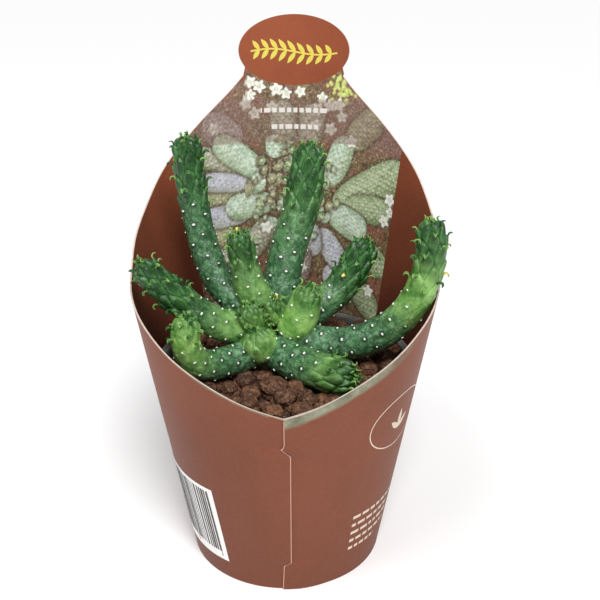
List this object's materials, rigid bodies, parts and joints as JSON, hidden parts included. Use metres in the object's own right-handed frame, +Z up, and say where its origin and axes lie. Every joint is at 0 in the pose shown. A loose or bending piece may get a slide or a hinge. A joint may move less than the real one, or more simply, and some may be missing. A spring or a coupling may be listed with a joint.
{
  "type": "potted euphorbia",
  "caption": "Succulent euphorbia with finger-like green branches in a small nursery pot, stood in a tapered printed card sleeve whose back rises into a display panel with an oval header",
  "frame": {"origin": "middle of the nursery pot's underside, on the standing surface", "axes": "+Z up; -Y faces the viewer, where the sleeve's glued seam and lowest rim are; the display panel stands at +Y"},
  "size_m": [0.0924, 0.0997, 0.159],
  "materials": {
    "printed_card": "satin printed brown, darker and matt inside, pale cut edges",
    "pot_plastic": "satin thermoformed",
    "potting_mix": "coarse, matt",
    "lava_stone": "porous, matt",
    "stem_skin": "corky, matt",
    "shoot_skin": "waxy satin skin",
    "young_skin": "waxy satin skin"
  },
  "bodies": {
    "root": {"arm_back_centre": "shoot_skin", "arm_back_left": "shoot_skin", "arm_back_right": "shoot_skin", "arm_centre_short": "shoot_skin", "arm_front_left": "shoot_skin", "arm_front_right": "shoot_skin", "arm_left": "shoot_skin", "arm_right_long": "shoot_skin", "bud_centre": "young_skin", "bud_crown": "young_skin", "bud_front": "young_skin", "bud_right": "young_skin", "card_sleeve": "printed_card", "caudex": "stem_skin", "lava_granule_01": "lava_stone", "lava_granule_02": "lava_stone", "lava_granule_03": "lava_stone", "lava_granule_04": "lava_stone", "lava_granule_05": "lava_stone", "lava_granule_06": "lava_stone", "lava_granule_07": "lava_stone", "lava_granule_08": "lava_stone", "lava_granule_09": "lava_stone", "lava_granule_10": "lava_stone", "lava_granule_11": "lava_stone", "lava_granule_12": "lava_stone", "lava_granule_13": "lava_stone", "lava_granule_14": "lava_stone", "lava_granule_15": "lava_stone", "lava_granule_16": "lava_stone", "lava_granule_17": "lava_stone", "lava_granule_18": "lava_stone", "lava_granule_19": "lava_stone", "lava_granule_20": "lava_stone", "lava_granule_21": "lava_stone", "nursery_pot": "pot_plastic", "substrate": "potting_mix"}
  },
  "joints": []
}
